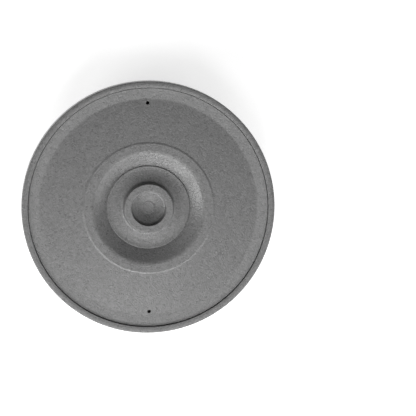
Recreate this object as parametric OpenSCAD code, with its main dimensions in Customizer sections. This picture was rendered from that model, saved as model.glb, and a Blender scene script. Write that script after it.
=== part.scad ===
// Round tortilla warmer: a thick moulded bowl and a drop-in lid with a recessed knob.
// Millimetres, +Z up, origin at the centre of the foot on the table.
// Both pieces are turned from outlines of [radius, height, corner radius].

/* [Rim] */
// Outer diameter of the rim
rim_d = 204; // [190:1:230]
// Height of the rim above the table
rim_h = 46; // [42:1:60]
// Width of the raised ring round the lid
rim_w = 4.9; // [4:0.1:7]
// Drop of the ring's top towards its outer edge
rim_drop = 0.5; // [0.2:0.1:1]
// Depth of the lid's ledge below the rim
ledge_drop = 6; // [5:0.1:8]
// Width of the ledge that carries the lid
ledge_w = 8.6; // [7:0.1:11]
// Thickness of the flange under the ledge
flange_t = 5; // [4:0.1:7]

/* [Bowl] */
// Thickness of the side wall
wall_t = 4; // [3:0.1:6]
// Lean of the side wall from upright, in degrees
wall_lean = 18.5; // [8:0.5:22]
// Thickness of the floor
floor_t = 4; // [3:0.1:6]
// Height of the foot ring
foot_h = 2; // [1:0.1:3]
// Width of the foot ring with its rounded heel
foot_w = 12; // [11:0.5:20]

/* [Lid] */
// Gap between the lid's edge and the rim
lid_gap = 0.5; // [0.3:0.1:1]
// Thickness of the lid
lid_t = 4; // [3:0.1:5]
// Width of the band round the lid's edge
band_w = 8.9; // [6:0.1:10]
// Dip of the band along its inner side
band_dip = 0.4; // [0.1:0.1:0.8]
// Rise of the domed field from the band to the collar
field_rise = 3.4; // [2:0.1:5]
// Share of that rise with an even slope, while the rest steepens towards the band
field_even = 0.7; // [0.3:0.05:1]

/* [Finger well] */
// Outer diameter of the collar round the well
collar_d = 107.2; // [102:0.2:114]
// Height of the collar above the field
collar_h = 0.6; // [0.4:0.1:2]
// Width of the collar's sloping outer face
collar_face_w = 3; // [1:0.1:4]
// Diameter of the well's mouth
well_d = 89.8; // [84:0.2:92]
// Depth of the well below the collar
well_depth = 6.6; // [4:0.1:7.5]
// Diameter of the well's floor
well_floor_d = 66; // [62:0.2:70]
// Dish of the well's floor between its edge and the knob's foot
well_dish = 0.9; // [0.4:0.1:1.5]

/* [Knob] */
// Diameter of the knob's top
knob_d = 39.4; // [36:0.2:44]
// Height of the knob above the well's floor
knob_h = 9; // [8:0.1:12]
// Widening of the knob's side at its foot, on the radius
knob_draft = 0.6; // [0.2:0.1:1.5]
// Diameter of the cup in the knob's top
cup_d = 27.8; // [22:0.2:30]
// Depth of the cup
cup_depth = 7.5; // [6.8:0.1:8]
// Narrowing of the cup at its floor, on the radius
cup_draft = 0.9; // [0.3:0.1:1.5]
// Diameter of the flat in the middle of the cup's floor
cup_flat_d = 9; // [6:0.2:12]
// Rise of the cup's floor from there to its wall
cup_floor_rise = 1.2; // [0.2:0.1:1.4]

/* [Steam vents] */
// Diameter of a vent
vent_d = 2.8; // [2:0.1:4]
// Distance of a vent's centre inside the bowl's mouth
vent_inset = 3.9; // [3:0.1:12]
// Number of vents, evenly round the lid
vent_count = 2; // [1:1:6]

/* [Moulded corners] */
// Radius of the rim's outer edge
rim_round = 1.8; // [1:0.1:2.4]
// Radius of the rim's and the ledge's inner edges
ledge_round = 0.8; // [0.3:0.1:1.2]
// Radius under the flange's outer edge
flange_round = 1.5; // [0.5:0.1:2]
// Radius of the bowl's outside corner
heel_round = 8; // [5:0.5:10]
// Radius of the bowl's inside corner
cavity_round = 10; // [6:0.5:14]
// Radius of the lid's top edge
lid_round = 0.8; // [0.3:0.1:1.2]
// Radius of the lid's bottom edge
seat_round = 0.5; // [0.2:0.1:1]
// Radius in the hollow between the field and the band
valley_round = 8; // [3:0.5:12]
// Radius of the collar's outer edge
collar_round = 2; // [0.5:0.1:3]
// Radius where the well's wall rolls over into the collar
mouth_round = 7; // [3:0.5:10]
// Radius where the well's floor turns up into its wall
floor_round = 9; // [3:0.5:10]
// Radius in the dish of the well's floor, and under its edge
dish_round = 15; // [5:1:20]
// Radius of the knob's top edge
knob_round = 1.3; // [0.5:0.1:2]
// Radius at the knob's foot
foot_round = 2.5; // [1:0.1:3]
// Radius of the cup's edge
cup_round = 1; // [0.3:0.1:1.5]
// Radius of the cup's inside corner
cup_floor_round = 6.2; // [3:0.1:6.4]
// Radius round the flat of the cup's floor
cup_flat_round = 20; // [5:1:30]

/* [Hidden] */
shell_grey = [0.42, 0.42, 0.42];
turned_fn = 180;
vent_fn = 48;
arc_step = 15;
field_steps = 6;

rim_r = rim_d / 2;
rim_in_r = rim_r - rim_w;
mouth_r = rim_in_r - ledge_w;
ledge_z = rim_h - ledge_drop;
flange_z = ledge_z - flange_t;
floor_z = foot_h + floor_t;

lid_r = rim_in_r - lid_gap;
band_r = lid_r - band_w;
band_z = ledge_z + lid_t;
valley_z = band_z - band_dip;
collar_r = collar_d / 2;
field_z = valley_z + field_rise;
collar_z = field_z + collar_h;
crest_r = collar_r - collar_face_w;
well_r = well_d / 2;
well_floor_r = well_floor_d / 2;
well_z = collar_z - well_depth;
knob_r = knob_d / 2;
knob_foot_r = knob_r + knob_draft;
knob_z = well_z + knob_h;
cup_r = cup_d / 2;
cup_z = knob_z - cup_depth;
vent_r = mouth_r - vent_inset;
seat_in_r = mouth_r - ledge_round;

// The side wall's inner and outer radius at a height
function cavity_r(z) = mouth_r - (ledge_z - z) * tan(wall_lean);
function outside_r(z) = cavity_r(z) + wall_t / cos(wall_lean);

// Height of the domed field's top at a radius
function field_top(r) =
    let (out = (r - collar_r) / (band_r - collar_r))
    field_z - field_rise * out * (field_even + (1 - field_even) * out);

function unit(v) = v / norm(v);
function spun(v, a) = [v.x * cos(a) - v.y * sin(a), v.x * sin(a) + v.y * cos(a)];
function point(c) = [c[0], c[1]];

// The points that round one corner, between the corners before and after it
function rounded_corner(before, corner, after) =
    corner[2] == undef ? [point(corner)] :
    let (
        back = unit(point(before) - point(corner)),
        on = unit(point(after) - point(corner)),
        half = acos(back * on) / 2,
        start = point(corner) + back * corner[2] / tan(half),
        centre = point(corner) + unit(back + on) * corner[2] / sin(half),
        turn = sign(cross(on, back)) * (180 - 2 * half),
        steps = max(2, ceil(abs(turn) / arc_step))
    )
    [for (i = [0 : steps]) centre + spun(start - centre, turn * i / steps)];

// A closed outline with each corner that names a radius rounded to it
function rounded(corners) =
    let (n = len(corners))
    [for (i = [0 : n - 1])
        each rounded_corner(corners[(i + n - 1) % n], corners[i], corners[(i + 1) % n])];

// Bowl, from the middle of its inside, over the rim and back under the floor
function cavity() = [
    [0, floor_z],
    [cavity_r(floor_z), floor_z, cavity_round],
    [mouth_r, ledge_z, ledge_round],
];
function rim() = [
    [rim_in_r, ledge_z],
    [rim_in_r, rim_h, ledge_round],
    [rim_r - rim_w / 2, rim_h, rim_w],
    [rim_r, rim_h - rim_drop, rim_round],
    [rim_r, flange_z, flange_round],
];
function outside() = [
    [outside_r(flange_z), flange_z, flange_round],
    [outside_r(0), 0, heel_round],
    [outside_r(0) - foot_w, 0],
    [outside_r(0) - foot_w - foot_h, foot_h],
    [0, foot_h],
];

// Lid, from the middle of the cup, out over the band and back underneath
function knob() = [
    [0, cup_z],
    [cup_flat_d / 2, cup_z, cup_flat_round],
    [cup_r - cup_draft, cup_z + cup_floor_rise, cup_floor_round],
    [cup_r, knob_z, cup_round],
    [knob_r, knob_z, knob_round],
    [knob_foot_r, well_z + well_dish, foot_round],
];
function well() = [
    [(knob_foot_r + well_floor_r) / 2, well_z, dish_round],
    [well_floor_r, well_z, floor_round],
    [well_r, collar_z, mouth_round],
    [crest_r, collar_z, collar_round],
    [collar_r, field_z],
];
function field(lowered, end_r) =
    [for (i = [1 : field_steps - 1])
        let (r = collar_r + (end_r - collar_r) * i / field_steps)
        [r, field_top(r) - lowered]];
function band() = [
    [band_r, valley_z, valley_round],
    [lid_r, band_z, lid_round],
    [lid_r, ledge_z, seat_round],
];
function underside() =
    let (inner = concat([
        [0, well_z - lid_t],
        [well_floor_r, well_z - lid_t, dish_round],
        [well_r, collar_z - lid_t, collar_round],
        [collar_r, field_z - lid_t],
    ], field(lid_t, seat_in_r), [[seat_in_r, ledge_z]]))
    [for (i = [len(inner) - 1 : -1 : 0]) inner[i]];

module turned(corners) {
    rotate_extrude($fn = turned_fn) polygon(rounded(corners));
}

// Bowl with the cavity for the tortillas, the lid's ledge and the raised rim
module base() {
    color(shell_grey) turned(concat(cavity(), rim(), outside()));
}

// One-piece lid: cupped knob, finger well, collar, domed field and flat band
module lid() {
    color(shell_grey) difference() {
        turned(concat(knob(), well(), field(0, band_r), band(), underside()));
        vents();
    }
}

// Steam vents through the field, above the edge of the cavity
module vents() {
    for (i = [0 : vent_count - 1]) {
        rotate(90 + i * 360 / vent_count) translate([vent_r, 0, ledge_z - lid_t])
            cylinder(d = vent_d, h = 3 * lid_t, $fn = vent_fn);
    }
}

base();
lid();
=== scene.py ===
"""Round tortilla warmer: the finished look of its bowl and of its drop-in lid.

Sizes in the dataclasses are millimetres, and angles are degrees. In their names _r is a radius,
_d a diameter, _w a width, _h a height, _t a thickness and _z a height above the table, and _round
is the fillet of a corner. Meshes are made in metres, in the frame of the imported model: +Z up, with
the origin at the centre of the foot on the table.
"""

import logging
import math
from collections.abc import Iterable
from dataclasses import dataclass
from enum import Enum

import bpy
from mathutils import Euler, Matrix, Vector

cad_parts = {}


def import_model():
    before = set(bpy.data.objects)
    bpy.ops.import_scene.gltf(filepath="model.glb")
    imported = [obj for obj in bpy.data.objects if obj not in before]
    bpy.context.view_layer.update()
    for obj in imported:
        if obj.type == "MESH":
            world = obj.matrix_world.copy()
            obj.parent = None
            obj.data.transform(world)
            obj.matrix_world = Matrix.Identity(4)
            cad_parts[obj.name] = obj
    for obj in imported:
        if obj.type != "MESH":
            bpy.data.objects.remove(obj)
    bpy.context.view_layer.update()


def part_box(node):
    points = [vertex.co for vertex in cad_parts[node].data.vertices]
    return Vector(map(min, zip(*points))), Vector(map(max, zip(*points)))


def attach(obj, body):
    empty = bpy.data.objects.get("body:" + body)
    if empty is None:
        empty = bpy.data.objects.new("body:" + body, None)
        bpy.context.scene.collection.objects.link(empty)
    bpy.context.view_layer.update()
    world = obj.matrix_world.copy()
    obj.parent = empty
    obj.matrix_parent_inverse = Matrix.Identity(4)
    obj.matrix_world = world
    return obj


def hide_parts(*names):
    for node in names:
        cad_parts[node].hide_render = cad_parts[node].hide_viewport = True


MM = 0.001
LOG = logging.getLogger("warmer")

# Faces that meet at a larger angle than this keep a crisp edge between them
CRISP_ANGLE = 32.0

Point = tuple[float, float]


# ---------------------------------------------------------------- outlines


@dataclass(frozen=True)
class Corner:
    """One corner of a turned outline: its radius, its height and the fillet that rounds it."""

    radius: float
    height: float
    rounding: float = 0.0

    def place(self) -> Vector:
        """Return the corner as a point of the half section."""
        return Vector((self.radius, self.height))


@dataclass(frozen=True)
class Outline:
    """Half section of a shell, from its axis over the outside and back to its axis."""

    corners: tuple[Corner, ...]
    arc_step: float = 7.5
    hold: float = 0.25

    def points(self) -> list[Point]:
        """Return the outline's points, with round corners and a holding ring beside each of them."""
        ends = [self.corners[0], *self.corners, self.corners[-1]]
        bends = [self._bend(*ends[i : i + 3]) for i in range(len(self.corners))]
        points = list(bends[0])
        for last, bend in zip(bends, bends[1:]):
            points += self._holds(last, bend)
            points += bend
        return [(p.x, p.y) for p in points]

    def _bend(self, before: Corner, corner: Corner, after: Corner) -> list[Vector]:
        """Return the points that round one corner.

        Args:
            before: The corner before it.
            corner: The corner itself.
            after: The corner after it.

        Returns:
            The points of its fillet in order, or the bare corner where it has no fillet.
        """
        here = corner.place()
        if corner.rounding == 0:
            return [here]
        back = (before.place() - here).normalized()
        ahead = (after.place() - here).normalized()
        half = back.angle(ahead) / 2
        reach = corner.rounding / math.tan(half)
        centre = here + (back + ahead).normalized() * corner.rounding / math.sin(half)
        start = here + back * reach - centre
        end = here + ahead * reach - centre
        turn = start.angle_signed(end)
        steps = max(2, math.ceil(math.degrees(abs(turn)) / self.arc_step))
        return [centre + self._turned(start, -turn * i / steps) for i in range(steps + 1)]

    @staticmethod
    def _turned(arm: Vector, angle: float) -> Vector:
        """Return a vector of the half section, turned by an angle in radians."""
        sin, cos = math.sin(angle), math.cos(angle)
        return Vector((arm.x * cos - arm.y * sin, arm.x * sin + arm.y * cos))

    def _holds(self, last: list[Vector], bend: list[Vector]) -> list[Vector]:
        """Return points just inside a straight stretch, so that its shading stays even.

        Args:
            last: The points of the corner before the stretch.
            bend: The points of the corner after it.

        Returns:
            A point beside each corner that is rounded, or none where the stretch is short.
        """
        start, end = last[-1], bend[0]
        length = (end - start).length
        if length < 3 * self.hold:
            return []
        share = self.hold / length
        held = [start.lerp(end, share)] if len(last) > 1 else []
        return held + ([end.lerp(start, share)] if len(bend) > 1 else [])

    def mesh(self, name: str) -> bpy.types.Mesh:
        """Return the outline as a mesh of edges in the XZ plane, in metres."""
        points = self.points()
        mesh = bpy.data.meshes.new(name)
        edges = [(i, i + 1) for i in range(len(points) - 1)]
        mesh.from_pydata([(r * MM, 0, z * MM) for r, z in points], edges, [])
        return mesh


# ---------------------------------------------------------------- node trees


class NodeBench:
    """Adds nodes to a tree and wires them up."""

    def __init__(self, tree: bpy.types.NodeTree) -> None:
        """Keep the tree that is worked on."""
        self.tree = tree

    def add(
        self, kind: str, inputs: dict[int | str, object] | None = None, **settings: object
    ) -> bpy.types.Node:
        """Add one node.

        Args:
            kind: The node type's identifier.
            inputs: What goes into its sockets: a plain value, or the socket to link from.
            settings: The node's own properties.

        Returns:
            The new node.
        """
        node = self.tree.nodes.new(kind)
        for name, value in settings.items():
            setattr(node, name, value)
        for key, value in (inputs or {}).items():
            if isinstance(value, bpy.types.NodeSocket):
                self.tree.links.new(value, node.inputs[key])
            else:
                node.inputs[key].default_value = value
        return node

    def math(self, operation: str, *terms: object) -> bpy.types.NodeSocket:
        """Add a Math node of that operation on the terms and return its value."""
        kind = "ShaderNodeMath"
        return self.add(kind, dict(enumerate(terms)), operation=operation).outputs[0]

    def vector(self, operation: str, *terms: object) -> bpy.types.Node:
        """Add a Vector Math node of that operation on the terms and return the node."""
        return self.add("ShaderNodeVectorMath", dict(enumerate(terms)), operation=operation)


class ShapeTree:
    """A Geometry Nodes tree with named inputs, which is worked into plain meshes."""

    def __init__(self, name: str) -> None:
        """Start the tree with its geometry in and out and the finish that its faces get."""
        self.tree = bpy.data.node_groups.new(name, "GeometryNodeTree")
        self.bench = NodeBench(self.tree)
        self.tree.interface.new_socket("Geometry", in_out="OUTPUT", socket_type="NodeSocketGeometry")
        self.given = self.bench.add("NodeGroupInput")
        self.ask("Geometry", "NodeSocketGeometry")
        self.ask("Finish", "NodeSocketMaterial")

    def ask(self, name: str, kind: str = "NodeSocketFloat") -> bpy.types.NodeSocket:
        """Add a named input to the tree and return the socket that hands it on."""
        self.tree.interface.new_socket(name, in_out="INPUT", socket_type=kind)
        return self.given.outputs[name]

    def close(self, geometry: bpy.types.NodeSocket) -> None:
        """End the tree: real geometry, smooth faces with crisp edges, and the finish.

        Args:
            geometry: What the tree has made.
        """
        bench = self.bench
        real = bench.add("GeometryNodeRealizeInstances", {0: geometry})
        faces = {0: real.outputs[0], "Shade Smooth": True}
        smooth = bench.add("GeometryNodeSetShadeSmooth", faces, domain="FACE")
        angle = bench.add("GeometryNodeInputMeshEdgeAngle").outputs["Unsigned Angle"]
        sharp = bench.math("GREATER_THAN", angle, math.radians(CRISP_ANGLE))
        edges = {0: smooth.outputs[0], "Selection": sharp, "Shade Smooth": False}
        crisp = bench.add("GeometryNodeSetShadeSmooth", edges, domain="EDGE")
        coat = {0: crisp.outputs[0], "Material": self.given.outputs["Finish"]}
        dressed = bench.add("GeometryNodeSetMaterial", coat)
        bench.add("NodeGroupOutput", {0: dressed.outputs[0]})

    def work(self, piece: bpy.types.Object, **values: object) -> None:
        """Run the tree on a piece and leave the result as its plain mesh.

        Args:
            piece: The object that is worked on.
            values: The tree's inputs, with _ for a space in each name.
        """
        modifier = piece.modifiers.new(self.tree.name, "NODES")
        modifier.node_group = self.tree
        sockets = [item for item in self.tree.interface.items_tree if item.in_out == "INPUT"]
        for item in sockets:
            key = item.name.replace(" ", "_").lower()
            if key in values:
                modifier[item.identifier] = values[key]
        graph = bpy.context.evaluated_depsgraph_get()
        made = bpy.data.meshes.new_from_object(piece.evaluated_get(graph), depsgraph=graph)
        piece.modifiers.clear()
        made.name = piece.name
        piece.data = made


class TurnedShell(ShapeTree):
    """Turns an outline round the vertical axis into one closed shell."""

    def __init__(self) -> None:
        """Build the tree."""
        super().__init__("turned_shell")
        segments = self.ask("Segments", "NodeSocketInt")
        weld = self.ask("Weld")
        outline = self.given.outputs["Geometry"]
        bench = self.bench
        counted = bench.add("GeometryNodeAttributeDomainSize", {0: outline}, component="MESH")
        rows = counted.outputs["Point Count"]
        columns = bench.math("ADD", segments, 1)
        counts = {"Vertices X": columns, "Vertices Y": rows}
        grid = bench.add("GeometryNodeMeshGrid", counts).outputs["Mesh"]
        index = bench.add("GeometryNodeInputIndex").outputs[0]
        column = bench.math("FLOOR", bench.math("DIVIDE", index, rows))
        row = bench.math("MODULO", index, rows)
        place = bench.add("GeometryNodeInputPosition").outputs[0]
        sample = bench.add("GeometryNodeSampleIndex", data_type="FLOAT_VECTOR", domain="POINT")
        bench.tree.links.new(outline, sample.inputs["Geometry"])
        bench.tree.links.new(place, sample.inputs["Value"])
        bench.tree.links.new(row, sample.inputs["Index"])
        angle = bench.math("MULTIPLY", bench.math("DIVIDE", column, segments), math.tau)
        turned = bench.add(
            "ShaderNodeVectorRotate",
            {"Vector": sample.outputs["Value"], "Angle": angle},
            rotation_type="Z_AXIS",
        )
        shell = bench.add("GeometryNodeSetPosition", {"Geometry": grid, "Position": turned.outputs[0]})
        welded = bench.add("GeometryNodeMergeByDistance", {0: shell.outputs[0], "Distance": weld})
        self.close(bench.add("GeometryNodeFlipFaces", {0: welded.outputs[0]}).outputs[0])


class DrilledHoles(ShapeTree):
    """Drills a ring of upright holes, each with a small break round its upper edge."""

    def __init__(self) -> None:
        """Build the tree."""
        super().__init__("drilled_holes")
        bench = self.bench
        count = self.ask("Count", "NodeSocketInt")
        ring = self.ask("Ring Radius")
        radius = self.ask("Hole Radius")
        edge = self.ask("Edge Break")
        top = self.ask("Top Height")
        depth = self.ask("Depth")
        start = self.ask("Start Angle")
        facets = self.ask("Facets", "NodeSocketInt")
        index = bench.add("GeometryNodeInputIndex").outputs[0]
        share = bench.math("DIVIDE", index, count)
        arm = bench.add("ShaderNodeCombineXYZ", {"X": ring, "Z": top}).outputs[0]
        angle = bench.math("MULTIPLY_ADD", share, math.tau, start)
        place = bench.add("ShaderNodeVectorRotate", {"Vector": arm, "Angle": angle}, rotation_type="Z_AXIS")
        spots = bench.add("GeometryNodePoints", {"Count": count, "Position": place.outputs[0]}).outputs[0]
        bore = bench.add("GeometryNodeMeshCylinder", {"Vertices": facets, "Radius": radius, "Depth": depth})
        wide = bench.math("ADD", radius, bench.math("MULTIPLY", edge, 2))
        tall = bench.math("MULTIPLY", edge, 2)
        lip = bench.add(
            "GeometryNodeMeshCone",
            {"Vertices": facets, "Radius Top": wide, "Radius Bottom": radius, "Depth": tall},
        )
        low = self._upright(bench.math("MULTIPLY", edge, -1))
        seated = bench.add("GeometryNodeTransform", {0: lip.outputs[0], "Translation": low})
        cut = bench.add("GeometryNodeMeshBoolean", operation="DIFFERENCE", solver="MANIFOLD")
        bench.tree.links.new(self.given.outputs["Geometry"], cut.inputs["Mesh 1"])
        for cutter in (bore, seated):
            drills = bench.add("GeometryNodeInstanceOnPoints", {0: spots, "Instance": cutter.outputs[0]})
            bench.tree.links.new(drills.outputs[0], cut.inputs["Mesh 2"])
        self.close(cut.outputs[0])

    def _upright(self, value: bpy.types.NodeSocket) -> bpy.types.NodeSocket:
        """Return a vector with that value along Z."""
        return self.bench.add("ShaderNodeCombineXYZ", {"Z": value}).outputs[0]


# ---------------------------------------------------------------- finish


@dataclass(frozen=True)
class MouldedFinish:
    """Dark thermoplastic as it leaves a fine-eroded mould.

    The shade is a linear grey. Each pattern has the size of its features and the share by which it
    changes the shade. Past the radius where the painted light starts, and within its width, the shade
    turns paler by its share. This is painted light, which brightens the lid's outer band to stand in for
    the light that falls on it.
    """

    name: str = "moulded_grey"
    shade: float = 0.16
    roughness: float = 0.3
    roughness_spread: float = 0.16
    cloud_size: float = 22.0
    cloud_share: float = 0.05
    streaks: float = 26.0
    streak_length: float = 34.0
    streak_share: float = 0.05
    grain_size: float = 2.2
    grain_twist: float = 1.5
    grain_share: float = 0.6
    grain_height: float = 0.3
    speck_size: float = 1.5
    speck_start: float = 0.6
    speck_full: float = 0.78
    speck_share: float = 0.12
    ripple_size: float = 5.0
    ripple_height: float = 0.012
    # Painted light: from this radius out the shade is made paler, which lights the lid's outer band
    painted_light_from: float = 0.0
    painted_light_width: float = 2.0
    painted_light_share: float = 0.0

    def material(self) -> bpy.types.Material:
        """Return the finish as a material."""
        made = bpy.data.materials.new(self.name)
        made.use_nodes = True
        made.node_tree.nodes.clear()
        bench = NodeBench(made.node_tree)
        place = bench.add("ShaderNodeTexCoord").outputs["Object"]
        grain = self._noise(bench, place, self.grain_size, detail=1, twist=self.grain_twist)
        shade = self._shade(bench, place, grain)
        smoothest = self.roughness - self.roughness_spread / 2
        rough = bench.math("MULTIPLY_ADD", grain, self.roughness_spread, smoothest)
        shader = bench.add(
            "ShaderNodeBsdfPrincipled",
            {"Base Color": shade, "Roughness": rough, "Normal": self._relief(bench, place, grain)},
        )
        bench.add("ShaderNodeOutputMaterial", {"Surface": shader.outputs[0]})
        return made

    @staticmethod
    def _noise(
        bench: NodeBench, place: bpy.types.NodeSocket, size: float, detail: float, twist: float = 0.0
    ) -> bpy.types.NodeSocket:
        """Return noise between 0 and 1.

        Args:
            bench: Where its node goes.
            place: The coordinates it is laid on, in metres.
            size: The size of its features, in millimetres.
            detail: How many finer layers it has.
            twist: How far it is swirled, as a share of that size.

        Returns:
            The noise's value.
        """
        settings = {"Vector": place, "Scale": 1 / (size * MM), "Detail": detail, "Distortion": twist}
        return bench.add("ShaderNodeTexNoise", settings).outputs["Fac"]

    def _flow(self, bench: NodeBench, place: bpy.types.NodeSocket) -> bpy.types.NodeSocket:
        """Return coordinates that run out from the gate in the middle, as the melt did.

        Args:
            bench: Where the nodes go.
            place: The piece's own coordinates.

        Returns:
            Coordinates whose noise is drawn out along each radius, with no seam.
        """
        flat = bench.vector("MULTIPLY", place, (1, 1, 0)).outputs["Vector"]
        toward = bench.vector("NORMALIZE", flat).outputs["Vector"]
        fanned = bench.vector("SCALE", toward)
        fanned.inputs["Scale"].default_value = self.streaks
        away = bench.vector("LENGTH", flat).outputs["Value"]
        along = bench.math("MULTIPLY", away, 1 / (self.streak_length * MM))
        drop = bench.add("ShaderNodeCombineXYZ", {"Z": along}).outputs[0]
        return bench.vector("ADD", fanned.outputs["Vector"], drop).outputs["Vector"]

    def _shade(
        self, bench: NodeBench, place: bpy.types.NodeSocket, grain: bpy.types.NodeSocket
    ) -> bpy.types.NodeSocket:
        """Return the shade with its clouds, flow streaks, grain, pale specks and painted light on the outer
        band.

        Args:
            bench: Where the nodes go.
            place: The piece's own coordinates.
            grain: The grain that the relief uses too.

        Returns:
            The shade, as a grey.
        """
        clouds = self._noise(bench, place, self.cloud_size, detail=2)
        streaks = bench.add(
            "ShaderNodeTexNoise", {"Vector": self._flow(bench, place), "Scale": 1.0, "Detail": 3.0}
        ).outputs["Fac"]
        spots = self._noise(bench, place, self.speck_size, detail=1)
        spread = {"Value": spots, "From Min": self.speck_start, "From Max": self.speck_full}
        specks = bench.add("ShaderNodeMapRange", spread).outputs[0]
        flat = bench.vector("MULTIPLY", place, (1, 1, 0)).outputs["Vector"]
        # Painted light: past a radius the shade turns paler, which brightens the lid's outer band
        away = bench.vector("LENGTH", flat).outputs["Value"]
        start = self.painted_light_from / self.painted_light_width
        past = bench.math("MULTIPLY_ADD", away, 1 / (self.painted_light_width * MM), -start)
        painted_band_light = bench.add("ShaderNodeMapRange", {"Value": past}, interpolation_type="SMOOTHSTEP").outputs[0]
        total = 1 - self.cloud_share - self.streak_share - self.grain_share
        for pattern, share in (
            (clouds, 2 * self.cloud_share),
            (streaks, 2 * self.streak_share),
            (grain, 2 * self.grain_share),
            (specks, self.speck_share),
            (painted_band_light, self.painted_light_share),
        ):
            total = bench.math("MULTIPLY_ADD", pattern, share, total)
        return bench.math("MULTIPLY", total, self.shade)

    def _relief(
        self, bench: NodeBench, place: bpy.types.NodeSocket, grain: bpy.types.NodeSocket
    ) -> bpy.types.NodeSocket:
        """Return the normal of the eroded grain and of the slow ripples under it.

        Args:
            bench: Where the nodes go.
            place: The piece's own coordinates.
            grain: The grain that the shade uses too.

        Returns:
            The bumped normal.
        """
        ripple = self._noise(bench, place, self.ripple_size, detail=2)
        slow = {"Height": ripple, "Distance": self.ripple_height * MM, "Strength": 1.0}
        under = bench.add("ShaderNodeBump", slow).outputs[0]
        fine = {"Height": grain, "Distance": self.grain_height * MM, "Strength": 1.0, "Normal": under}
        return bench.add("ShaderNodeBump", fine).outputs[0]


# ---------------------------------------------------------------- the two pieces


@dataclass
class MouldedPiece:
    """What the bowl and the lid have in common: a turned shell that stands for a CAD node."""

    node: str
    finish: MouldedFinish
    segments: int = 360
    weld: float = 0.002

    def outline(self) -> Outline:
        """Return the piece's half section."""
        raise NotImplementedError

    def build(self, shell: TurnedShell) -> bpy.types.Object:
        """Turn the piece, dress it and put it on its body.

        Args:
            shell: The tree that turns outlines.

        Returns:
            The finished piece.
        """
        name = f"{self.node}_shell"
        piece = bpy.data.objects.new(name, self.outline().mesh(name))
        bpy.context.scene.collection.objects.link(piece)
        coat = self.finish.material()
        shell.work(piece, segments=self.segments, weld=self.weld * MM, finish=coat)
        self.detail(piece, coat)
        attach(piece, self.node)
        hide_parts(self.node)
        LOG.info("%s: %d faces", name, len(piece.data.polygons))
        return piece

    def detail(self, piece: bpy.types.Object, coat: bpy.types.Material) -> None:
        """Add what isn't turned. A plain turned piece has nothing."""


@dataclass
class WarmerBowl(MouldedPiece):
    """The bowl: cavity, ledge for the lid, raised rim, leaning wall and foot ring."""

    rim_w: float = 5.1
    rim_drop: float = 0.4
    rim_crown: float = 0.35
    ledge_drop: float = 6.0
    ledge_w: float = 8.4
    flange_t: float = 5.0
    wall_t: float = 4.0
    wall_lean: float = 18.5
    floor_t: float = 4.0
    foot_h: float = 2.0
    foot_w: float = 12.0
    cavity_round: float = 10.0
    mouth_round: float = 0.8
    recess_round: float = 0.3
    rim_in_round: float = 0.6
    rim_round: float = 1.0
    flange_round: float = 1.5
    heel_round: float = 8.0
    foot_round: float = 0.5
    hollow_round: float = 1.0

    def __post_init__(self) -> None:
        """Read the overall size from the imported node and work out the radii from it."""
        low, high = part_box(self.node)
        self.rim_r = (high[0] - low[0]) / 2 / MM
        self.rim_h = high[2] / MM
        self.rim_in_r = self.rim_r - self.rim_w
        self.mouth_r = self.rim_in_r - self.ledge_w
        self.ledge_z = self.rim_h - self.ledge_drop

    def cavity_r(self, height: float) -> float:
        """Return the cavity's radius at a height."""
        return self.mouth_r - (self.ledge_z - height) * math.tan(math.radians(self.wall_lean))

    def outside_r(self, height: float) -> float:
        """Return the wall's outer radius at a height."""
        return self.cavity_r(height) + self.wall_t / math.cos(math.radians(self.wall_lean))

    def outline(self) -> Outline:
        """Return the half section, from the cavity's floor over the rim to the underside."""
        floor = self.foot_h + self.floor_t
        flange = self.ledge_z - self.flange_t
        foot_in = self.outside_r(0) - self.foot_w
        return Outline((
            Corner(0, floor),
            Corner(self.cavity_r(floor), floor, self.cavity_round),
            Corner(self.mouth_r, self.ledge_z, self.mouth_round),
            Corner(self.rim_in_r, self.ledge_z, self.recess_round),
            Corner(self.rim_in_r, self.rim_h - self.rim_crown, self.rim_in_round),
            Corner(self.rim_r - self.rim_w / 2, self.rim_h, self.rim_w),
            Corner(self.rim_r, self.rim_h - self.rim_drop, self.rim_round),
            Corner(self.rim_r, flange, self.flange_round),
            Corner(self.outside_r(flange), flange, self.flange_round),
            Corner(self.outside_r(0), 0, self.heel_round),
            Corner(foot_in, 0, self.foot_round),
            Corner(foot_in - self.foot_h, self.foot_h, self.hollow_round),
            Corner(0, self.foot_h),
        ))


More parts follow.
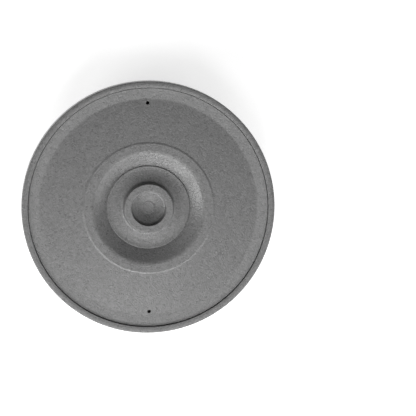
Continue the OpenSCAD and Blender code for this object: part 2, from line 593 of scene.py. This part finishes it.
@dataclass
class WarmerLid(MouldedPiece):
    """The lid: cupped knob, finger well, collar, domed field, flat band and steam vents."""

    thickness: float = 4.0
    band_w: float = 8.9
    band_dip: float = 0.4
    band_round: float = 0.3
    seat_in_r: float = 87.7
    seat_round: float = 0.5
    valley_round: float = 8.0
    field_rise: float = 3.4
    field_even: float = 0.7
    field_rings: int = 8
    collar_r: float = 53.6
    collar_h: float = 0.6
    collar_face_w: float = 1.5
    collar_round: float = 1.0
    collar_foot_round: float = 0.8
    well_r: float = 44.9
    mouth_round: float = 7.0
    well_depth: float = 6.6
    well_floor_r: float = 33.0
    dish_round: float = 15.0
    turn_w: float = 2.4
    turn_round: float = 8.0
    groove_r: float = 33.2
    groove_w: float = 0.5
    groove_draft: float = 0.1
    groove_depth: float = 0.9
    groove_rise: float = 0.4
    groove_round: float = 0.15
    groove_foot_round: float = 0.1
    wall_foot_round: float = 0.4
    knob_h: float = 9.0
    knob_r: float = 19.7
    knob_draft: float = 0.6
    knob_foot_h: float = 0.9
    knob_foot_round: float = 2.5
    knob_round: float = 0.7
    cup_r: float = 13.9
    cup_depth: float = 7.5
    cup_draft: float = 0.3
    cup_floor_rise: float = 1.7
    cup_floor_round: float = 2.0
    cup_flat_r: float = 5.6
    cup_flat_round: float = 3.0
    gate_r: float = 4.4
    gate_w: float = 1.5
    gate_h: float = 0.1
    gate_round: float = 0.2
    under_floor_r: float = 32.7
    under_floor_round: float = 15.0
    under_mouth_round: float = 2.0
    under_collar_round: float = 1.0
    vent_count: int = 2
    vent_start: float = 90.0
    vent_d: float = 2.8
    vent_break: float = 0.15
    vent_ring_r: float = 84.6
    vent_facets: int = 40

    def __post_init__(self) -> None:
        """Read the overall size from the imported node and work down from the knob's top."""
        low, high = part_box(self.node)
        self.lid_r = (high[0] - low[0]) / 2 / MM
        self.band_r = self.lid_r - self.band_w
        self.knob_z = high[2] / MM
        self.well_z = self.knob_z - self.knob_h
        self.collar_z = self.well_z + self.well_depth
        self.field_z = self.collar_z - self.collar_h
        self.valley_z = self.field_z - self.field_rise
        self.band_z = self.valley_z + self.band_dip
        self.seat_z = self.band_z - self.thickness

    def field_top(self, radius: float) -> float:
        """Return the height of the domed field's top at a radius."""
        out = (radius - self.collar_r) / (self.band_r - self.collar_r)
        return self.field_z - self.field_rise * out * (self.field_even + (1 - self.field_even) * out)

    def knob(self) -> Iterable[Corner]:
        """Yield the knob's corners, from the middle of its cup, over the gate's ring, to its foot."""
        cup_z = self.knob_z - self.cup_depth
        flank = self.gate_w / 2
        land = self.gate_w / 6
        yield Corner(0, cup_z)
        yield Corner(self.gate_r - flank, cup_z, self.gate_round)
        yield Corner(self.gate_r - land, cup_z + self.gate_h, self.gate_round)
        yield Corner(self.gate_r + land, cup_z + self.gate_h, self.gate_round)
        yield Corner(self.gate_r + flank, cup_z, self.gate_round)
        yield Corner(self.cup_flat_r, cup_z, self.cup_flat_round)
        yield Corner(self.cup_r - self.cup_draft, cup_z + self.cup_floor_rise, self.cup_floor_round)
        yield Corner(self.cup_r, self.knob_z, self.knob_round)
        yield Corner(self.knob_r, self.knob_z, self.knob_round)
        yield Corner(self.knob_r + self.knob_draft, self.well_z + self.knob_foot_h, self.knob_foot_round)

    def well(self) -> Iterable[Corner]:
        """Yield the finger well's corners, from the dish round the knob to the collar's foot."""
        foot_r = self.knob_r + self.knob_draft
        yield Corner((foot_r + self.well_floor_r) / 2, self.well_z, self.dish_round)
        yield Corner(self.well_floor_r - self.turn_w, self.well_z, self.turn_round)
        yield from self.groove()
        yield Corner(self.well_r, self.collar_z, self.mouth_round)
        yield Corner(self.collar_r - self.collar_face_w, self.collar_z, self.collar_round)
        yield Corner(self.collar_r, self.field_z, self.collar_foot_round)

    def groove(self) -> Iterable[Corner]:
        """Yield the fine groove where the well's floor, already rising, meets its wall."""
        height = self.well_z + self.groove_rise
        bottom = height - self.groove_depth
        yield Corner(self.groove_r, height, self.groove_round)
        yield Corner(self.groove_r + self.groove_draft, bottom, self.groove_foot_round)
        yield Corner(self.groove_r + self.groove_w, bottom, self.wall_foot_round)

    def field_curve(self, end_r: float, lowered: float = 0.0) -> Iterable[Corner]:
        """Yield the domed field's corners from the collar outwards.

        Args:
            end_r: The radius where it ends, which has no corner of its own here.
            lowered: How far it lies below the field's top.
        """
        for i in range(1, self.field_rings):
            radius = self.collar_r + (end_r - self.collar_r) * i / self.field_rings
            yield Corner(radius, self.field_top(radius) - lowered)

    def underside(self) -> Iterable[Corner]:
        """Yield the underside's corners, from the seat's inner edge to the axis."""
        yield Corner(self.seat_in_r, self.seat_z)
        yield from reversed(tuple(self.field_curve(self.seat_in_r, self.thickness)))
        yield Corner(self.collar_r, self.field_z - self.thickness, self.under_collar_round)
        yield Corner(self.well_r, self.collar_z - self.thickness, self.under_mouth_round)
        yield Corner(self.under_floor_r, self.well_z - self.thickness, self.under_floor_round)
        yield Corner(0, self.well_z - self.thickness)

    def outline(self) -> Outline:
        """Return the half section, from the cup over the lid's edge to the underside."""
        top = (*self.knob(), *self.well(), *self.field_curve(self.band_r))
        band = (
            Corner(self.band_r, self.valley_z, self.valley_round),
            Corner(self.lid_r, self.band_z, self.band_round),
            Corner(self.lid_r, self.seat_z, self.seat_round),
        )
        return Outline((*top, *band, *self.underside()))

    def detail(self, piece: bpy.types.Object, coat: bpy.types.Material) -> None:
        """Drill the steam vents.

        Args:
            piece: The turned lid.
            coat: Its finish.
        """
        DrilledHoles().work(
            piece,
            finish=coat,
            count=self.vent_count,
            ring_radius=self.vent_ring_r * MM,
            hole_radius=self.vent_d / 2 * MM,
            edge_break=self.vent_break * MM,
            top_height=self.field_top(self.vent_ring_r) * MM,
            depth=4 * self.thickness * MM,
            start_angle=math.radians(self.vent_start),
            facets=self.vent_facets,
        )


# ---------------------------------------------------------------- studio


class Lamp(Enum):
    """The studio's soft boxes: azimuth and elevation of each, its diameter and its strength.

    The azimuth is counted from +X towards +Y, and the diameter is in metres. A strength of 1 alone
    would light a white surface that faces the lamp to white.
    """

    FAR_LEFT = (-155.0, 25.0, 0.8, 0.52)
    LEFT = (-120.0, 30.0, 0.5, 0.335)
    FRONT = (-90.0, 31.0, 0.5, 0.28)
    RIGHT = (-60.0, 30.0, 0.5, 0.195)
    FAR_RIGHT = (-30.0, 25.0, 0.8, 0.26)
    HIGH_FRONT = (-90.0, 65.0, 0.5, 0.14)
    TOP = (-45.0, 80.0, 0.8, 0.05)


@dataclass
class Studio:
    """Pale floor, white surroundings, soft boxes and the camera.

    The aim is the pixel that the rim's middle falls on. The floor lies floor_gap below the foot, so
    that the two don't flicker, and its glow rises to white from floor_near out to floor_reach.
    """

    distance: float = 2500.0
    lens: float = 269.1
    pitch: float = -7.6
    sway: float = -5.35
    roll: float = -0.25
    sensor: float = 36.0
    near_clip: float = 50.0
    frame: int = 416
    aim: tuple[float, float] = (148.5, 207.7)
    aim_height: float = 44.5
    lamp_distance: float = 1500.0
    floor_shade: float = 0.8
    floor_glow: float = 0.72
    floor_near: float = 150.0
    floor_reach: float = 900.0
    floor_gap: float = 0.1
    floor_size: float = 12000.0

    def build(self) -> None:
        """Build the whole studio."""
        self.surroundings()
        self.floor()
        for lamp in Lamp:
            self.soft_box(lamp)
        self.camera()
        bpy.context.scene.view_settings.view_transform = "Standard"

    def seen(self, bench: NodeBench) -> bpy.types.NodeSocket:
        """Return 1 for rays from the camera, a mirror or glass, and 0 for the rest."""
        path = bench.add("ShaderNodeLightPath").outputs
        mirrored = bench.math("MAXIMUM", path["Is Glossy Ray"], path["Is Transmission Ray"])
        return bench.math("MAXIMUM", path["Is Camera Ray"], mirrored)

    def surroundings(self) -> None:
        """Make the world: white where the camera or a reflection sees it, and dark elsewhere."""
        world = bpy.data.worlds.new("studio")
        bpy.context.scene.world = world
        world.use_nodes = True
        world.node_tree.nodes.clear()
        bench = NodeBench(world.node_tree)
        white = {"Color": (1, 1, 1, 1), "Strength": self.seen(bench)}
        shell = bench.add("ShaderNodeBackground", white)
        bench.add("ShaderNodeOutputWorld", {"Surface": shell.outputs[0]})

    def floor(self) -> None:
        """Make the pale floor, which looks white and keeps the object's shadow."""
        half, low = self.floor_size / 2 * MM, -self.floor_gap * MM
        mesh = bpy.data.meshes.new("floor")
        corners = [(x * half, y * half, low) for x, y in ((-1, -1), (1, -1), (1, 1), (-1, 1))]
        mesh.from_pydata(corners, [], [(0, 1, 2, 3)])
        floor = bpy.data.objects.new("floor", mesh)
        bpy.context.scene.collection.objects.link(floor)
        made = bpy.data.materials.new("pale_floor")
        made.use_nodes = True
        made.node_tree.nodes.clear()
        bench = NodeBench(made.node_tree)
        shade = (self.floor_shade,) * 3 + (1,)
        matt = bench.add("ShaderNodeBsdfDiffuse", {"Color": shade}).outputs[0]
        place = bench.add("ShaderNodeTexCoord").outputs["Object"]
        away = bench.vector("LENGTH", place).outputs["Value"]
        near, far = self.floor_near * MM, self.floor_reach * MM
        fade = {"Value": away, "From Min": near, "From Max": far, "To Min": self.floor_glow}
        level = bench.add("ShaderNodeMapRange", fade).outputs[0]
        glow = bench.math("MULTIPLY", self.seen(bench), level)
        lit = bench.add("ShaderNodeEmission", {"Strength": glow}).outputs[0]
        both = bench.add("ShaderNodeAddShader", {0: matt, 1: lit}).outputs[0]
        bench.add("ShaderNodeOutputMaterial", {"Surface": both})
        mesh.materials.append(made)

    def soft_box(self, lamp: Lamp) -> None:
        """Hang one soft box, aimed at the object.

        Args:
            lamp: Which one.
        """
        azimuth, elevation, size, strength = lamp.value
        data = bpy.data.lights.new(lamp.name.lower(), "AREA")
        data.shape = "DISK"
        data.size = size
        reach = self.lamp_distance * MM
        data.energy = strength * (math.pi * reach) ** 2
        box = bpy.data.objects.new(data.name, data)
        bpy.context.scene.collection.objects.link(box)
        flat = math.cos(math.radians(elevation))
        toward = Vector((
            flat * math.cos(math.radians(azimuth)),
            flat * math.sin(math.radians(azimuth)),
            math.sin(math.radians(elevation)),
        ))
        box.location = Vector((0, 0, self.aim_height * MM)) + toward * reach
        box.rotation_euler = toward.to_track_quat("Z", "Y").to_euler()
        box.visible_camera = False

    def camera(self) -> None:
        """Place the camera so that the rim's middle falls on the pixel of the aim."""
        data = bpy.data.cameras.new("camera")
        data.sensor_width = self.sensor
        data.lens = self.lens
        data.clip_start = self.near_clip * MM
        turn = Euler([math.radians(a) for a in (self.pitch, self.sway, self.roll)])
        focal = self.lens / self.sensor * self.frame
        across = (self.aim[0] - self.frame / 2) / focal
        up = (self.frame / 2 - self.aim[1]) / focal
        sight = Vector((across, up, -1)) * self.distance
        sight.rotate(turn)
        camera = bpy.data.objects.new("camera", data)
        bpy.context.scene.collection.objects.link(camera)
        camera.rotation_euler = turn
        camera.location = (Vector((0, 0, self.aim_height)) - sight) * MM
        bpy.context.scene.camera = camera


def main() -> None:
    """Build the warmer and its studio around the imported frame."""
    logging.basicConfig(level=logging.INFO, format="%(name)s: %(message)s")
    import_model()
    shell = TurnedShell()
    bowl = WarmerBowl("base", MouldedFinish("bowl_grey"))
    # The lid's outer band gets painted light: a paler shade from 87 mm out
    lid = WarmerLid("lid", MouldedFinish("lid_grey", painted_light_from=87.0, painted_light_share=0.22))
    for piece in (bowl, lid):
        piece.build(shell)
    Studio().build()


if __name__ == "__main__":
    main()
